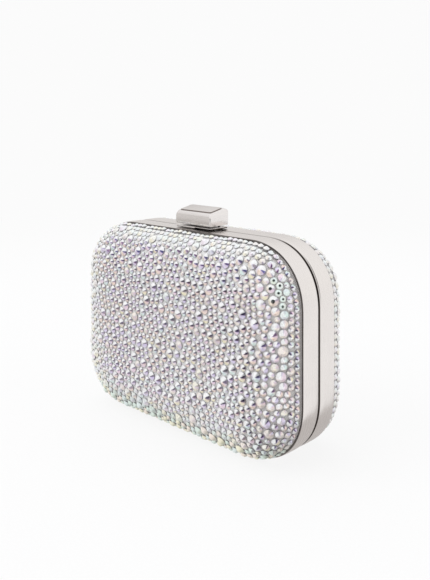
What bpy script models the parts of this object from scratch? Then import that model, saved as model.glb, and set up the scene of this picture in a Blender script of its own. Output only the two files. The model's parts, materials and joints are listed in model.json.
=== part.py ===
"""A hard-case clutch bag: two domed shells in a hinged metal frame, held shut by a press clasp.

The case stands on the flat of its frame. X runs along its width, the front faces -Y and Z is up.
The front half swings forward on two small barrel hinges under the case. A metal block over the
seam is pressed down to push a leaf spring out of the striker that holds the front half shut.
"""

import math

import bmesh
import bpy
from mathutils import Matrix, Vector

# Case outline, seen from the front
case_width = 0.157
case_height = 0.108
corner_radius = 0.0326
corner_exponent = 2.19
corner_steps = 7

# Frame halves: a crowned band with a flange along the seam
seam_gap = 0.0005
frame_depth = 0.01235
band_thickness = 0.0015
band_crown = 0.0003
band_edge_round = 0.0006
flat_band_share = 0.42
crown_steps = 2
flange_reach = 0.003
flange_thickness = 0.0012

# Domed shells, each a cover over a shell over a lining
dome_height = 0.0165
turn_width = 0.0306
turn_exponent = 2.5
turn_angle_shares = (0, 0.17, 0.34, 0.5, 0.66, 0.83, 1)
cover_thickness = 0.0007
shell_thickness = 0.0015
lining_thickness = 0.0008
cover_tuck = 0.003

# Clearances and cuts
seat_gap = 0.0003
pin_clearance = 0.0001
fitting_clearance = 0.00065
cut_overrun = 0.002
round_sides = 10
sharp_edge_angle = math.radians(40)

# Hinges under the case
hinge_spread = 0.060
knuckle_length = 0.004
barrel_radius = 0.00135
hinge_pin_radius = 0.0007
leaf_thickness = 0.001
leaf_reach = 0.0063
opening_angle = math.radians(70)
stop_clearance_angle = math.radians(1.5)

# Rivets and screws
rivet_radius = 0.0006
rivet_head_radius = 0.0011
rivet_head_height = 0.0005
rivet_recess = 0.0004
hinge_rivet_spread = 0.0076

# Clasp block
clasp_width = 0.0274
clasp_front_reach = 0.0095
clasp_back_reach = 0.0054
clasp_travel = 0.0008
press_rest_gap = 0.0002
clasp_side_height = 0.0047
clasp_side_bulge = 0.0001
clasp_corner_radius = 0.0010
clasp_bevel_height = 0.0020
clasp_bevel_inset = 0.0010
clasp_back_bevel_inset = 0.0028
clasp_lean = math.radians(11.5)
clasp_top_round = 0.0003
clasp_wall = 0.0014
clasp_recess = 0.0025
top_plate_margin = 0.0006
top_plate_thickness = 0.0009
top_plate_rise = 0.0005
corner_turn_steps = 4

# Base plate under the block
base_plate_margin = 0.0004
base_lip_thickness = 0.0009
base_lip_clearance = 0.0005
lip_notch_depth = 0.0035
lip_notch_height = 0.0005
lip_notch_start = 0.0015
base_rivet_edge_distance = 0.0026
base_rivet_head_radius = 0.0009

# Posts and clips that carry the block
post_edge_distance = 0.0052
post_radius = 0.0008
post_setback = 0.0031
post_seat_depth = 0.003
post_groove_depth = 0.00025
post_foot = 0.0003
clip_radius = 0.0013
clip_thickness = 0.0004

# Latch: a leaf spring with a nose that stands in the striker's window
striker_side_gap = 0.0012
striker_thickness = 0.001
striker_drop = 0.0004
striker_front_reach = 0.0064
striker_back_reach = 0.0063
striker_rivet_edge_distance = 0.002
striker_rivet_setback = 0.0042
nose_half_width = 0.0025
nose_depth = 0.0012
nose_setback = 0.0048
nose_release_gap = 0.00015
spring_thickness = 0.0004
spring_drop = 0.0005
spring_front = 0.0023
spring_back = 0.0059
spring_tip_overhang = 0.0025
spring_free_length = 0.005
spacer_length = 0.0075
latch_screw_spread = 0.0038
latch_screw_bite = 0.0008

# Colour, metallic and roughness of each finish
finishes = {
    "polished_nickel": ((0.80, 0.78, 0.76), 1.0, 0.25),
    "steel": ((0.55, 0.55, 0.56), 1.0, 0.38),
    "spring_steel": ((0.42, 0.43, 0.46), 1.0, 0.32),
    "crystal_fabric": ((0.70, 0.70, 0.74), 0.2, 0.35),
    "shell_board": ((0.16, 0.16, 0.17), 0.0, 0.60),
    "satin_lining": ((0.55, 0.54, 0.57), 0.0, 0.50),
}

# Sizes that follow from those above
half_seam = seam_gap / 2
frame_edge = half_seam + frame_depth
shell_tuck = frame_edge - fitting_clearance - max(leaf_reach, striker_front_reach, spring_back)
dome_inset = band_thickness + seat_gap
shell_sink = cover_thickness + seat_gap
lining_sink = shell_sink + shell_thickness + seat_gap
hinge_height = band_thickness + seat_gap + leaf_thickness - barrel_radius
hinge_length = 3 * knuckle_length + 2 * seat_gap
leaf_start = barrel_radius + seat_gap
leaf_bottom = band_thickness + seat_gap
wall_top = case_height
wall_bottom = case_height - band_thickness
striker_top = wall_bottom - striker_drop
striker_bottom = striker_top - striker_thickness
spring_top = striker_bottom - spring_drop
spring_bottom = spring_top - spring_thickness
nose_top = striker_bottom + clasp_travel - seat_gap - nose_release_gap
lip_bottom = wall_top + base_lip_clearance
lip_top = lip_bottom + base_lip_thickness
lip_middle = (lip_bottom + lip_top) / 2
clasp_bottom = lip_top + clasp_travel + press_rest_gap
clasp_shoulder = clasp_bottom + clasp_side_height
clasp_top = clasp_shoulder + clasp_bevel_height
clasp_middle = (clasp_back_reach - clasp_front_reach) / 2
base_rivet_spread = clasp_width - 2 * base_rivet_edge_distance
post_spread = clasp_width - 2 * post_edge_distance
striker_half_width = post_spread / 2 - clip_radius - striker_side_gap
striker_rivet_spread = 2 * (striker_half_width - striker_rivet_edge_distance)
spring_right_reach = post_spread / 2 + spring_tip_overhang
spring_left_reach = post_spread / 2 + spring_free_length + spacer_length


def clear_scene():
    """Removes whatever the scene holds."""
    for thing in list(bpy.data.objects):
        bpy.data.objects.remove(thing, do_unlink=True)


def make_collection(name):
    collection = bpy.data.collections.new(name)
    bpy.context.scene.collection.children.link(collection)
    return collection


def make_finish(name):
    colour, metallic, roughness = finishes[name]
    material = bpy.data.materials.new(name)
    material.use_nodes = True
    surface = material.node_tree.nodes["Principled BSDF"]
    surface.inputs["Base Color"].default_value = (*colour, 1)
    surface.inputs["Metallic"].default_value = metallic
    surface.inputs["Roughness"].default_value = roughness
    return material


clear_scene()
parts = make_collection("clutch_bag")
cutters = make_collection("cutters")
materials = {name: make_finish(name) for name in finishes}


def object_from(name, mesh, finish=None):
    """Makes a bmesh into an object: a part where it has a finish, and otherwise a cutter."""
    data = bpy.data.meshes.new(name)
    mesh.to_mesh(data)
    mesh.free()
    thing = bpy.data.objects.new(name, data)
    dress(thing, finish)
    return thing


def dress(thing, finish):
    """Files an object as a part with its finish, or as a cutter."""
    if finish:
        parts.objects.link(thing)
        thing.data.materials.append(materials[finish])
        return
    cutters.objects.link(thing)
    thing.hide_render = True
    thing.display_type = "WIRE"


def boolean(thing, other, operation):
    modifier = thing.modifiers.new(f"{operation.lower()}_{other.name}", "BOOLEAN")
    modifier.operation = operation
    modifier.object = other


def cut(thing, *tools):
    for tool in tools:
        boolean(thing, tool, "DIFFERENCE")


def join(thing, *others):
    for other in others:
        boolean(thing, other, "UNION")


def box(name, low, high, finish=None):
    """A box between two corners."""
    low, high = Vector(low), Vector(high)
    mesh = bmesh.new()
    bmesh.ops.create_cube(mesh, size=1)
    bmesh.ops.scale(mesh, vec=high - low, verts=mesh.verts)
    bmesh.ops.translate(mesh, vec=(low + high) / 2, verts=mesh.verts)
    return object_from(name, mesh, finish)


def cylinder(name, radius, start, end, finish=None):
    """A round bar from start to end, which lie on one line along X or Z."""
    start, end = Vector(start), Vector(end)
    run = end - start
    mesh = bmesh.new()
    turn = run.to_track_quat("Z", "Y").to_matrix().to_4x4()
    bmesh.ops.create_cone(
        mesh,
        cap_ends=True,
        segments=round_sides,
        radius1=radius,
        radius2=radius,
        depth=run.length,
        matrix=Matrix.Translation((start + end) / 2) @ turn,
    )
    thing = object_from(name, mesh, finish)
    smooth(thing)
    return thing


def prism(name, corners, left, right, finish=None):
    """An outline in the YZ plane, carried along X from left to right."""
    mesh = bmesh.new()
    face = mesh.faces.new([mesh.verts.new((left, y, z)) for y, z in corners])
    grown = bmesh.ops.extrude_face_region(mesh, geom=[face])
    moved = [item for item in grown["geom"] if isinstance(item, bmesh.types.BMVert)]
    bmesh.ops.translate(mesh, vec=(right - left, 0, 0), verts=moved)
    bmesh.ops.recalc_face_normals(mesh, faces=mesh.faces)
    return object_from(name, mesh, finish)


def turned(name, profile, place, finish, ring=False):
    """Turns a profile of (radius, height) points, listed from the top down, about an upright axis."""
    mesh = bmesh.new()
    corners = [mesh.verts.new((radius, 0, height)) for radius, height in profile]
    for upper, lower in zip(corners, corners[1:]):
        mesh.edges.new((upper, lower))
    if ring:
        mesh.edges.new((corners[-1], corners[0]))
    thing = object_from(name, mesh, finish)
    thing.location = place
    screw = thing.modifiers.new("turn", "SCREW")
    screw.steps = round_sides
    screw.render_steps = round_sides
    screw.use_merge_vertices = not ring
    screw.merge_threshold = pin_clearance / 2
    if ring:
        weld = thing.modifiers.new("close", "WELD")
        weld.merge_threshold = pin_clearance / 2
    return thing


def smooth(thing):
    thing.data.shade_smooth()
    thing.data.set_sharp_from_angle(angle=sharp_edge_angle)


def squircle_reach(angle, exponent):
    """How far a rounded-square curve of half-side 1 lies from its middle in one direction."""
    across = abs(math.cos(angle)) ** exponent
    along = abs(math.sin(angle)) ** exponent
    return (across + along) ** (-1 / exponent)


def case_outline(inset):
    """Points (x, z) round the case, drawn in by inset, anticlockwise as seen from the front."""
    points = []
    for quarter in range(4):
        side_x = 1 if quarter in (0, 3) else -1
        side_z = 1 if quarter in (0, 1) else -1
        for step in range(corner_steps + 1):
            angle = (quarter + step / corner_steps) * math.pi / 2
            reach = (corner_radius - inset) * squircle_reach(angle, corner_exponent)
            x = side_x * (case_width / 2 - corner_radius) + reach * math.cos(angle)
            z = side_z * (case_height / 2 - corner_radius) + reach * math.sin(angle)
            points.append((x, z + case_height / 2))
    return points


def loft(name, rings, side, finish, closed=False):
    """Skins a row of case outlines, each given by (inset, depth from the seam).

    A closed row makes a solid ring. An open one is a sheet that ends in a flat face.
    """
    mesh = bmesh.new()
    loops = [
        [mesh.verts.new((x, side * depth, z)) for x, z in case_outline(inset)]
        for inset, depth in rings
    ]
    following = loops[1:] + loops[:1] if closed else loops[1:]
    for near, far in zip(loops, following):
        for here, after in zip(range(len(near)), [*range(1, len(near)), 0]):
            mesh.faces.new((near[here], near[after], far[after], far[here]))
    if not closed:
        mesh.faces.new(loops[-1])
    if side > 0:
        bmesh.ops.reverse_faces(mesh, faces=mesh.faces)
    thing = object_from(name, mesh, finish)
    smooth(thing)
    return thing


def band_profile():
    """Corners (inset, depth) of a frame half's section: the crowned outside, then the inside."""
    rounding = 1 - math.sqrt(0.5)
    near = half_seam + band_edge_round
    far = frame_edge - band_edge_round
    fall = (far - near) * (1 - flat_band_share) / 2
    shelf = half_seam + flange_thickness
    flange_edge = band_thickness + flange_reach
    falling = [(1 - step / crown_steps) for step in range(crown_steps + 1)]
    seam_side = [(band_crown * part**2, near + fall * (1 - part)) for part in falling]
    outer_side = [(band_crown * part**2, far - fall * (1 - part)) for part in reversed(falling)]
    return [
        (band_crown + band_edge_round, half_seam),
        (band_crown + band_edge_round * rounding, half_seam + band_edge_round * rounding),
        *seam_side,
        *outer_side,
        (band_crown + band_edge_round * rounding, frame_edge - band_edge_round * rounding),
        (band_crown + band_edge_round, frame_edge),
        (band_thickness, frame_edge),
        (band_thickness, shelf),
        (flange_edge, shelf),
        (flange_edge, half_seam),
    ]


def dome_rings(sink, tuck):
    """Rings of a dome that lies sink below the cover's outside, from its skirt to its flat face."""
    rings = [(dome_inset + sink, frame_edge - tuck)]
    for share in turn_angle_shares:
        angle = share * math.pi / 2
        reach = squircle_reach(angle, turn_exponent)
        drawn_in = (turn_width - sink) * (1 - reach * math.cos(angle))
        rise = (dome_height - sink) * reach * math.sin(angle)
        rings.append((dome_inset + sink + drawn_in, frame_edge + rise))
    return rings


def dome(name, side, sink, thickness, tuck, finish):
    """One domed layer: a lofted sheet, thickened inwards."""
    thing = loft(name, dome_rings(sink, tuck), side, finish)
    solidify = thing.modifiers.new("thickness", "SOLIDIFY")
    solidify.thickness = thickness
    solidify.offset = -1
    solidify.use_even_offset = True
    return thing


def make_half(label, side):
    """The frame, shell, cover and lining of one half of the case."""
    frame = loft(f"{label}_frame", band_profile(), side, "polished_nickel", closed=True)
    layers = [
        dome(f"{label}_cover", side, 0, cover_thickness, cover_tuck, "crystal_fabric"),
        dome(f"{label}_shell", side, shell_sink, shell_thickness, shell_tuck, "shell_board"),
        dome(f"{label}_lining", side, lining_sink, lining_thickness, shell_tuck, "satin_lining"),
    ]
    return frame, layers


def rolled_section(side):
    """The section of a hinge knuckle: a barrel with the leaf's plate leaving from its top."""
    barrel = []
    for step in range(round_sides * 3 // 4 + 1):
        angle = math.pi / 2 + step * 2 * math.pi / round_sides
        y = barrel_radius * math.cos(angle)
        z = hinge_height + barrel_radius * math.sin(angle)
        barrel.append((side * y, z))
    plate_end = leaf_start + leaf_thickness
    rim = math.sqrt(barrel_radius**2 - (barrel_radius - leaf_thickness) ** 2)
    plate = [
        (side * rim, leaf_bottom),
        (side * plate_end, leaf_bottom),
        (side * plate_end, leaf_bottom + leaf_thickness),
    ]
    return barrel + plate


def rivet_hole(name, x, y, low, high, radius=rivet_radius):
    return cylinder(name, radius + pin_clearance, (x, y, low), (x, y, high))


def upright_rivet(name, x, y, shank_end, seat, direction, head_radius=rivet_head_radius):
    """A rivet whose shank runs from shank_end to its head, which stands on seat.

    Direction is 1 where the head is on top and -1 where it hangs below.
    """
    under_head = seat + direction * seat_gap
    crown = under_head + direction * rivet_head_height
    profile = [
        (0, crown),
        (head_radius * math.sqrt(0.5), crown),
        (head_radius, (crown + under_head) / 2),
        (head_radius, under_head),
        (rivet_radius, under_head),
        (rivet_radius, shank_end),
        (0, shank_end),
    ]
    if direction < 0:
        profile.reverse()
    return turned(name, profile, (x, y, 0), "steel")


def make_hinge(label, middle, frames):
    """One barrel hinge: two leaves on a pin, each riveted to its frame's bottom wall."""
    left = middle - hinge_length / 2
    right = middle + hinge_length / 2
    pitch = knuckle_length + seat_gap
    start = (left, 0, hinge_height)
    end = (right, 0, hinge_height)
    pin = cylinder(f"hinge_{label}_pin", hinge_pin_radius, start, end, "steel")
    hole_radius = hinge_pin_radius + pin_clearance
    overrun = Vector((cut_overrun, 0, 0))
    pin_hole = cylinder(f"pin_hole_{label}", hole_radius, Vector(start) - overrun, Vector(end) + overrun)
    made = {"pin": pin}
    for half, side, knuckles in (("back", 1, (0, 2)), ("front", -1, (1,))):
        name = f"hinge_{label}_{half}"
        near, far = sorted((side * leaf_start, side * leaf_reach))
        low = (left, near, leaf_bottom)
        high = (right, far, leaf_bottom + leaf_thickness)
        leaf = box(f"{name}_leaf", low, high, "steel")
        for knuckle in knuckles:
            knuckle_left = left + knuckle * pitch
            barrel = prism(
                f"{name}_knuckle_{knuckle}",
                rolled_section(side),
                knuckle_left,
                knuckle_left + knuckle_length,
            )
            join(leaf, barrel)
        cut(leaf, pin_hole)
        rivets = []
        rivet_y = side * (leaf_start + leaf_reach) / 2
        for place, offset in (("left", -0.5), ("right", 0.5)):
            rivet_x = middle + offset * hinge_rivet_spread
            hole = rivet_hole(
                f"{name}_{place}_rivet_hole",
                rivet_x,
                rivet_y,
                -cut_overrun,
                leaf_bottom + leaf_thickness + cut_overrun,
            )
            cut(leaf, hole)
            cut(frames[half], hole)
            seat = leaf_bottom + leaf_thickness
            rivet = upright_rivet(f"{name}_{place}_rivet", rivet_x, rivet_y, rivet_recess, seat, 1)
            rivets.append(rivet)
        made[half] = [leaf, *rivets]
    notch = box(
        f"hinge_{label}_notch",
        (left - seat_gap, -leaf_start, -cut_overrun),
        (right + seat_gap, leaf_start, band_thickness + flange_reach + cut_overrun),
    )
    for frame in frames.values():
        cut(frame, notch)
    return made


def relieve_bottom_seam(frames):
    """Cuts the seam's faces back below the hinge line, where they meet as the opening stop."""
    spread = math.tan(opening_angle / 2 + stop_clearance_angle)
    depth = hinge_height + cut_overrun
    corners = [(0, hinge_height), (-spread * depth, -cut_overrun), (spread * depth, -cut_overrun)]
    groove = prism("bottom_seam_groove", corners, -case_width / 2, case_width / 2)
    for frame in frames.values():
        cut(frame, groove)


def plan_outline(low_x, high_x, low_y, high_y, radius):
    """Points (x, y) of a rounded rectangle, anticlockwise from above."""
    points = []
    for quarter in range(4):
        corner_x = high_x - radius if quarter in (0, 3) else low_x + radius
        corner_y = high_y - radius if quarter in (0, 1) else low_y + radius
        for step in range(corner_turn_steps + 1):
            angle = (quarter + step / corner_turn_steps) * math.pi / 2
            points.append((corner_x + radius * math.cos(angle), corner_y + radius * math.sin(angle)))
    return points


def stacked(name, sections, finish=None):
    """Skins rounded rectangles in the block's plan, from the bottom up.

    Each section is (inset from three sides, inset from the back, height, share of the lean), and
    the lean lifts a section's back edge above its front one.
    """
    mesh = bmesh.new()
    loops = []
    for inset, back_inset, height, lean_share in sections:
        half_width = clasp_width / 2 - inset
        radius = clasp_corner_radius * half_width / (clasp_width / 2)
        front = inset - clasp_front_reach
        outline = plan_outline(
            -half_width, half_width, front, clasp_back_reach - back_inset, radius
        )
        slope = lean_share * math.tan(clasp_lean)
        loop = [mesh.verts.new((x, y, height + slope * (y + clasp_front_reach))) for x, y in outline]
        loops.append(loop)
    for lower, upper in zip(loops, loops[1:]):
        for here, after in zip(range(len(lower)), [*range(1, len(lower)), 0]):
            mesh.faces.new((lower[here], lower[after], upper[after], upper[here]))
    mesh.faces.new(reversed(loops[0]))
    mesh.faces.new(loops[-1])
    thing = object_from(name, mesh, finish)
    smooth(thing)
    return thing


def make_clasp_block():
    """The block that is pressed: a casting, hollow below, with a plate let into its leaning top."""
    rounding = clasp_top_round * (1 - math.sqrt(0.5))
    bulge = clasp_side_bulge
    side = clasp_bevel_inset
    back = clasp_back_bevel_inset
    middle = clasp_bottom + clasp_side_height / 2
    half_bevel = clasp_shoulder + clasp_bevel_height / 2
    block = stacked(
        "clasp_block",
        [
            (bulge, bulge, clasp_bottom, 0),
            (0, 0, middle, 0.5),
            (bulge, bulge, clasp_shoulder, 1),
            (bulge + side / 3, bulge + back / 3, half_bevel, 1),
            (side, back, clasp_top - clasp_top_round, 1),
            (side + rounding, back + rounding, clasp_top - rounding, 1),
            (side + clasp_top_round, back + clasp_top_round, clasp_top, 1),
        ],
        "polished_nickel",
    )
    pocket_side = side + top_plate_margin
    pocket_back = back + top_plate_margin
    pocket_floor = clasp_top + top_plate_rise - top_plate_thickness - seat_gap
    pocket = stacked(
        "top_plate_pocket",
        [
            (pocket_side, pocket_back, pocket_floor, 1),
            (pocket_side, pocket_back, clasp_top + cut_overrun, 1),
        ],
    )
    plate_side = pocket_side + seat_gap
    plate_back = pocket_back + seat_gap
    plate_top = clasp_top + top_plate_rise
    plate_round = clasp_top_round / 2
    plate = stacked(
        "clasp_top_plate",
        [
            (plate_side, plate_back, plate_top - top_plate_thickness, 1),
            (plate_side, plate_back, plate_top - plate_round, 1),
            (plate_side + plate_round, plate_back + plate_round, plate_top, 1),
        ],
        "polished_nickel",
    )
    recess = stacked(
        "clasp_block_recess",
        [
            (clasp_wall, clasp_wall, clasp_bottom - cut_overrun, 0),
            (clasp_wall, clasp_wall, clasp_bottom + clasp_recess, 0),
        ],
    )
    cut(block, pocket, recess)
    return block, plate


def make_post(label, x, block, pierced):
    """A grooved post from the block down through the frame, and the clip that keeps it there."""
    ceiling = clasp_bottom + clasp_recess
    socket_end = ceiling + post_seat_depth
    hole_radius = post_radius + pin_clearance
    place = (x, post_setback)
    socket = cylinder(
        f"{label}_post_socket", hole_radius, (*place, clasp_bottom - cut_overrun), (*place, socket_end)
    )
    cut(block, socket)
    foot = spring_top + seat_gap
    groove_bottom = foot + post_foot
    groove_top = groove_bottom + clip_thickness + 2 * pin_clearance
    neck = post_radius - post_groove_depth
    post = turned(
        f"clasp_{label}_post",
        [
            (0, socket_end - seat_gap),
            (post_radius, socket_end - seat_gap),
            (post_radius, groove_top),
            (neck, groove_top),
            (neck, groove_bottom),
            (post_radius, groove_bottom),
            (post_radius, foot),
            (0, foot),
        ],
        (*place, 0),
        "steel",
    )
    clip_bottom = groove_bottom + pin_clearance
    clip = turned(
        f"clasp_{label}_clip",
        [
            (neck + pin_clearance, clip_bottom + clip_thickness),
            (clip_radius, clip_bottom + clip_thickness),
            (clip_radius, clip_bottom),
            (neck + pin_clearance, clip_bottom),
        ],
        (*place, 0),
        "spring_steel",
        ring=True,
    )
    guide = cylinder(
        f"{label}_post_guide",
        post_radius + seat_gap,
        (*place, wall_bottom - cut_overrun),
        (*place, lip_top + cut_overrun),
    )
    cut(pierced["base_plate"], guide)
    cut(pierced["frame"], guide)
    return post, clip


def make_base_plate(frame):
    """The plate under the block: a pad on the back frame and a lip that reaches over the front."""
    margin = base_plate_margin
    plate = stacked(
        "clasp_base_plate", [(margin, margin, lip_bottom, 0), (margin, margin, lip_top, 0)], "steel"
    )
    pad_side = clasp_width / 2 - clasp_corner_radius - margin
    pad = box(
        "base_plate_pad",
        (-pad_side, half_seam + seat_gap, wall_top + seat_gap),
        (pad_side, clasp_back_reach - margin - clasp_corner_radius, lip_middle),
    )
    join(plate, pad)
    notch = box(
        "base_plate_notch",
        (lip_notch_start, -clasp_front_reach - cut_overrun, lip_bottom - cut_overrun),
        (clasp_width, lip_notch_depth - clasp_front_reach, lip_bottom + lip_notch_height),
    )
    cut(plate, notch)
    rivets = []
    for label, offset in (("left", -0.5), ("right", 0.5)):
        x = offset * base_rivet_spread
        top = lip_top - rivet_recess
        hole = rivet_hole(
            f"base_plate_{label}_hole", x, post_setback, wall_bottom - cut_overrun, lip_top + cut_overrun
        )
        cut(plate, hole)
        cut(frame, hole)
        rivet = upright_rivet(
            f"base_plate_{label}_rivet", x, post_setback, top, wall_bottom, -1, base_rivet_head_radius
        )
        rivets.append(rivet)
    return plate, rivets


def make_striker(frames):
    """The plate under the front frame's top wall, whose window takes the latch's nose."""
    window_side = nose_half_width + seat_gap
    window_reach = nose_depth / 2 + seat_gap
    plate = box(
        "striker",
        (-striker_half_width, -striker_front_reach, striker_bottom),
        (striker_half_width, striker_back_reach, striker_top),
        "steel",
    )
    window = box(
        "striker_window",
        (-window_side, nose_setback - window_reach, striker_bottom - cut_overrun),
        (window_side, nose_setback + window_reach, striker_top + cut_overrun),
    )
    cut(plate, window)
    passage_side = striker_half_width + seat_gap
    passage_reach = half_seam + flange_thickness + cut_overrun / 2
    passage = box(
        "striker_passage",
        (-passage_side, -passage_reach, wall_bottom - flange_reach - cut_overrun),
        (passage_side, passage_reach, wall_bottom),
    )
    for frame in frames.values():
        cut(frame, passage)
    rivets = []
    for label, offset in (("left", -0.5), ("right", 0.5)):
        x = offset * striker_rivet_spread
        hole = rivet_hole(
            f"striker_{label}_hole",
            x,
            -striker_rivet_setback,
            striker_bottom - cut_overrun,
            wall_top + cut_overrun,
        )
        cut(plate, hole)
        cut(frames["front"], hole)
        top = wall_top - rivet_recess
        rivets.append(
            upright_rivet(f"striker_{label}_rivet", x, -striker_rivet_setback, top, striker_bottom, -1)
        )
    return plate, rivets


def make_latch():
    """The leaf spring across the back frame, its nose, and the spacer that it is screwed to."""
    spring = box(
        "latch_spring",
        (-spring_left_reach, spring_front, spring_bottom),
        (spring_right_reach, spring_back, spring_top),
        "spring_steel",
    )
    nose = box(
        "latch_nose",
        (-nose_half_width, nose_setback - nose_depth / 2, (spring_bottom + spring_top) / 2),
        (nose_half_width, nose_setback + nose_depth / 2, nose_top),
    )
    join(spring, nose)
    spacer_middle = -spring_left_reach + spacer_length / 2
    spacer = box(
        "latch_spacer",
        (-spring_left_reach, spring_front, spring_top + seat_gap),
        (-spring_left_reach + spacer_length, spring_back, wall_bottom - seat_gap),
        "steel",
    )
    screws = []
    screw_y = (spring_front + spring_back) / 2
    for label, offset in (("outer", -0.5), ("inner", 0.5)):
        x = spacer_middle + offset * latch_screw_spread
        bite = spring_top + seat_gap + latch_screw_bite
        hole = rivet_hole(
            f"latch_{label}_screw_hole", x, screw_y, spring_bottom - cut_overrun, bite + seat_gap
        )
        cut(spring, hole)
        cut(spacer, hole)
        screws.append(upright_rivet(f"latch_{label}_screw", x, screw_y, bite, spring_bottom, -1))
    return spring, spacer, screws


def axis_empty(name, place, carried):
    """An empty on a joint's axis, which carries the pieces that move there."""
    empty = bpy.data.objects.new(name, None)
    empty.location = place
    parts.objects.link(empty)
    for thing in carried:
        thing.parent = empty
        thing.matrix_parent_inverse = Matrix.Translation(Vector(place)).inverted()


front_frame, front_layers = make_half("front", -1)
back_frame, back_layers = make_half("back", 1)
both_frames = {"front": front_frame, "back": back_frame}

hinge_left = make_hinge("left", -hinge_spread / 2, both_frames)
hinge_right = make_hinge("right", hinge_spread / 2, both_frames)
relieve_bottom_seam(both_frames)

base_plate, base_rivets = make_base_plate(back_frame)
striker, striker_rivets = make_striker(both_frames)
latch = make_latch()

clasp_block, clasp_top_plate = make_clasp_block()
pierced_by_posts = {"base_plate": base_plate, "frame": back_frame}
post_fittings = []
for post_label, post_offset in (("left", -0.5), ("right", 0.5)):
    post_fittings += make_post(post_label, post_offset * post_spread, clasp_block, pierced_by_posts)

front_pieces = [front_frame, *front_layers, *hinge_left["front"], *hinge_right["front"]]
axis_empty("front_hinge_axis", (0, 0, hinge_height), front_pieces + [striker, *striker_rivets])
clasp_pieces = [clasp_block, clasp_top_plate, *post_fittings]
axis_empty("clasp_axis", (0, clasp_middle, clasp_bottom), clasp_pieces)
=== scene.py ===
# %% [markdown]
# # A crystal-set clutch bag
#
# The bag is a hard case: two domed halves in a hinged metal frame, with a pressed clasp on top.
# The measured solids come in first, as a frame that never moves. Everything made here is fitted
# to them and rides on one of their three bodies: the back half, the front half or the clasp.

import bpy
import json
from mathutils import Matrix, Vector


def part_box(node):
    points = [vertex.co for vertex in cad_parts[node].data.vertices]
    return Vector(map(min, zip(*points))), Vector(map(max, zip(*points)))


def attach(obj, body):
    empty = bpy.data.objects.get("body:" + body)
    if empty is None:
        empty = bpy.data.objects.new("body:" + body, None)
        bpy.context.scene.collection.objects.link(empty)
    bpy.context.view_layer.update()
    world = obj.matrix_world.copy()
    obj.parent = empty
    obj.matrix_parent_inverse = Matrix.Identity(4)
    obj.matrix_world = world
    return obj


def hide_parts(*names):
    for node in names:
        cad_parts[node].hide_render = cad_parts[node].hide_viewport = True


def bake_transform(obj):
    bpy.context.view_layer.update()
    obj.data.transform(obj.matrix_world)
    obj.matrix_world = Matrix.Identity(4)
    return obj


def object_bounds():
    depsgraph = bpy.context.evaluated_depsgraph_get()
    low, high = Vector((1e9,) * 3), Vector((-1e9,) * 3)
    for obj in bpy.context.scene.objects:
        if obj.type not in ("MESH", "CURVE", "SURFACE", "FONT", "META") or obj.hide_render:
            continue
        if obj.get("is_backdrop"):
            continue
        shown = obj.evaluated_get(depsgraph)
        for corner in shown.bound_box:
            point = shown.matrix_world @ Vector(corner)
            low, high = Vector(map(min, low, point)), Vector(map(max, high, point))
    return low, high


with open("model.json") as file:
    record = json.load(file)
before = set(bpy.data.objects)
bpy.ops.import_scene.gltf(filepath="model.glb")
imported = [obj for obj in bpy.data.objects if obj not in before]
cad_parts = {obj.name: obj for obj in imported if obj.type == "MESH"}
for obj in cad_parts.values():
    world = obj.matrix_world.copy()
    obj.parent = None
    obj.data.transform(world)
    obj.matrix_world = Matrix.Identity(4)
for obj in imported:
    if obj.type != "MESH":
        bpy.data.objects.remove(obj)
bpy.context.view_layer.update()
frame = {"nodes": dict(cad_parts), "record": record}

# %% Tools for the whole lesson
import json
import math

import bmesh
import bpy
import numpy as np
from mathutils import Matrix, Vector

mm = 0.001
luck = np.random.default_rng(20)


def bring_in(name, data):
    """Puts a new object into the scene."""
    thing = bpy.data.objects.new(name, data)
    bpy.context.scene.collection.objects.link(thing)
    return thing


def mesh_of(name, shape):
    """Turns a bmesh into mesh data, and lets the bmesh go."""
    data = bpy.data.meshes.new(name)
    shape.to_mesh(data)
    shape.free()
    return data


print("lengths are written in millimetres times", mm)

# %% [markdown]
# ## The view
#
# The photograph looks at the bag from its front right corner, a little above its top edge. The
# camera stands level, and the picture is shifted down on the sensor instead of tilting the
# camera, which keeps upright edges upright. A product photographer does the same with a shift lens.

# %% Place the camera
camera = bring_in("studio_camera", bpy.data.cameras.new("studio_camera"))
camera.location = (0.28078, -0.28232, 0.16599)
camera.rotation_euler = (math.pi / 2, 0, math.radians(43.843))
view = camera.data
view.sensor_fit, view.sensor_height, view.lens = "VERTICAL", 36, 44.189
view.shift_x, view.shift_y, view.clip_start = -0.00321, -0.28678, 0.01
bpy.context.scene.camera = camera
bpy.context.scene.view_settings.view_transform = "Standard"
print("the camera stands", round(camera.location.length, 3), "m from the bag's foot")

# %% [markdown]
# ## Small helpers for finishes
#
# Every finish is a Principled shader fed by nodes. `place` adds a node and fills its inputs in
# one line. A `Wire` is one output of a node that understands plain arithmetic: `mask * 0.5` adds
# a Math node that halves the mask, so that the recipes further down read like sums.

# %% Helpers that wire nodes
def sum_by(operation):
    """A way for wires to do one kind of sum."""
    return lambda self, other=0.0: self.math(operation, other)


class Wire:
    """One output of a node, on which sums can be written out as usual."""

    def __init__(self, socket):
        self.socket, self.tree = socket, socket.id_data

    def math(self, operation, second=0.0):
        return out(place(self.tree, "Math", {0: self, 1: second}, operation=operation))

    __add__, __sub__, __mul__ = sum_by("ADD"), sum_by("SUBTRACT"), sum_by("MULTIPLY")
    __gt__, __lt__ = sum_by("GREATER_THAN"), sum_by("LESS_THAN")
    __pow__, __abs__ = sum_by("POWER"), sum_by("ABSOLUTE")


def fill(node, inputs):
    """Puts plain values into a node's inputs, or links wires to them."""
    for name, value in inputs.items():
        socket = node.inputs[name]
        if isinstance(value, Wire):
            value.tree.links.new(value.socket, socket)
        else:
            socket.default_value = (*value, 1) if socket.type == "RGBA" else value


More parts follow.
